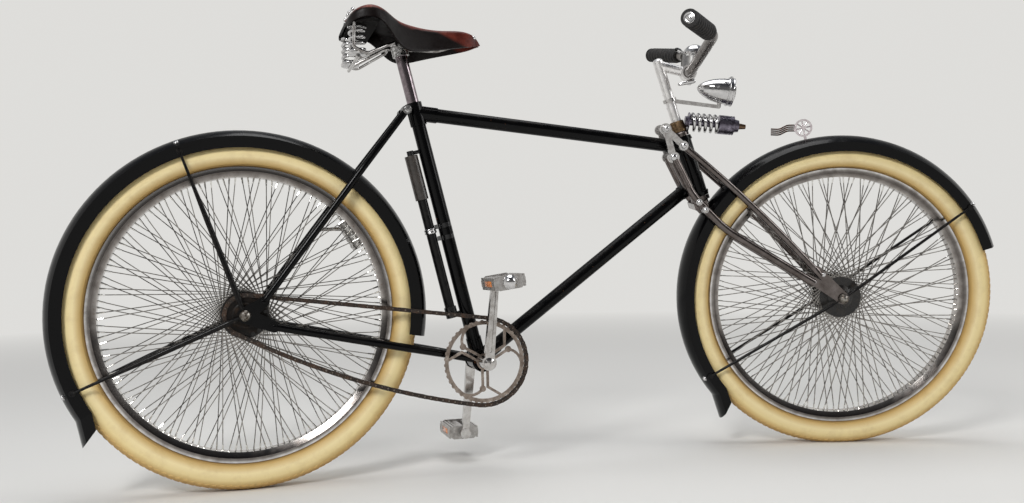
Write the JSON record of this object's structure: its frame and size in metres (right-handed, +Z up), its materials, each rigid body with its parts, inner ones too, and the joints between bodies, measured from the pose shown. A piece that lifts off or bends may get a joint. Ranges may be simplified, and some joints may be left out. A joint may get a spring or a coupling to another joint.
{
  "type": "diamond-frame bicycle",
  "caption": "Diamond-frame bicycle with a girder fork, deep mudguards, wire wheels, a sprung leather saddle, a headlamp and a chain drive.",
  "frame": {"origin": "top of the saddle where the rider sits, on the frame's middle plane", "axes": "+X forward, +Y to the left, +Z up"},
  "size_m": [1.9648, 0.6328, 0.9637],
  "materials": {
    "tyre": "matt cream rubber",
    "rim": "chromed",
    "hub": "gloss black",
    "frame": "gloss black",
    "guard": "gloss black",
    "black_steel": "satin black",
    "chrome": "chromed",
    "steel": "worn",
    "rusty_chain": "rusty",
    "fork": "grey brown",
    "leather": "worn",
    "rubber": "matt",
    "aluminium": "cast",
    "lens": "clear",
    "brass": "worn",
    "plastic": "matt"
  },
  "bodies": {
    "frame": {"head_tube": "frame", "bottom_bracket": "frame", "seat_tube": "frame", "top_tube": "frame", "down_tube": "frame", "rear_axle": "chrome", "rear_dropouts": "frame", "chain_stays": "frame", "seat_stays": "frame", "sprocket": "steel", "chain": "rusty_chain", "rear_mudguard": "guard", "rear_mudguard_stays": "black_steel", "seat_post": "chrome", "saddle_clamp": "steel", "saddle_rails": "chrome", "saddle_springs": "chrome", "saddle_leather": "leather", "pump_barrel": "plastic", "pump_handle": "plastic", "pump_clips": "steel", "dynamo": "aluminium"},
    "fork": {"front_axle": "chrome", "fork_plates": "fork", "fork_blades": "fork", "fork_struts": "fork", "fork_castings": "aluminium", "fork_crown": "fork", "steering_nut": "brass", "shock_spring": "chrome", "shock_body": "steel", "stem": "chrome", "handlebar": "chrome", "grips": "rubber", "bell": "chrome", "headlamp": "chrome", "headlamp_lens": "lens", "lamp_bracket": "steel", "front_mudguard": "guard", "front_mudguard_stays": "black_steel", "mudguard_marker": "chrome"},
    "front_wheel": {"front_tyre": "tyre", "front_rim": "rim", "front_hub": "hub", "front_bearings": "steel"},
    "rear_wheel": {"rear_tyre": "tyre", "rear_rim": "rim", "rear_hub": "hub", "rear_bearings": "steel"},
    "crank": {"crank_axle": "steel", "chainring": "chrome", "crank_right": "chrome", "crank_left": "chrome"},
    "pedal_right": {"pedal_right": "aluminium"},
    "pedal_left": {"pedal_left": "aluminium"}
  },
  "joints": [
    {"name": "steering", "type": "hinge", "parent": "frame", "child": "fork", "pos_m": [0.71064, 0, -0.362], "axis": [-0.3024, 0, 0.9532], "range_deg": [-7.2, 46.8]},
    {"name": "front_wheel_spin", "type": "hinge", "parent": "fork", "child": "front_wheel", "pos_m": [1.0093, -0.07636, -0.60203], "axis": [0.3229, 0.9409, 0.1024], "continuous": true},
    {"name": "rear_wheel_spin", "type": "hinge", "parent": "frame", "child": "rear_wheel", "pos_m": [-0.275, 0, -0.598], "axis": [0, 1, 0], "continuous": true},
    {"name": "crank_spin", "type": "hinge", "parent": "frame", "child": "crank", "pos_m": [0.1936, 0, -0.711], "axis": [0, 1, 0], "continuous": true},
    {"name": "pedal_right_spin", "type": "hinge", "parent": "crank", "child": "pedal_right", "pos_m": [0.21085, -0.137, -0.5469], "axis": [0, 1, 0], "continuous": true},
    {"name": "pedal_left_spin", "type": "hinge", "parent": "crank", "child": "pedal_left", "pos_m": [0.17635, 0.125, -0.8751], "axis": [0, 1, 0], "continuous": true}
  ]
}
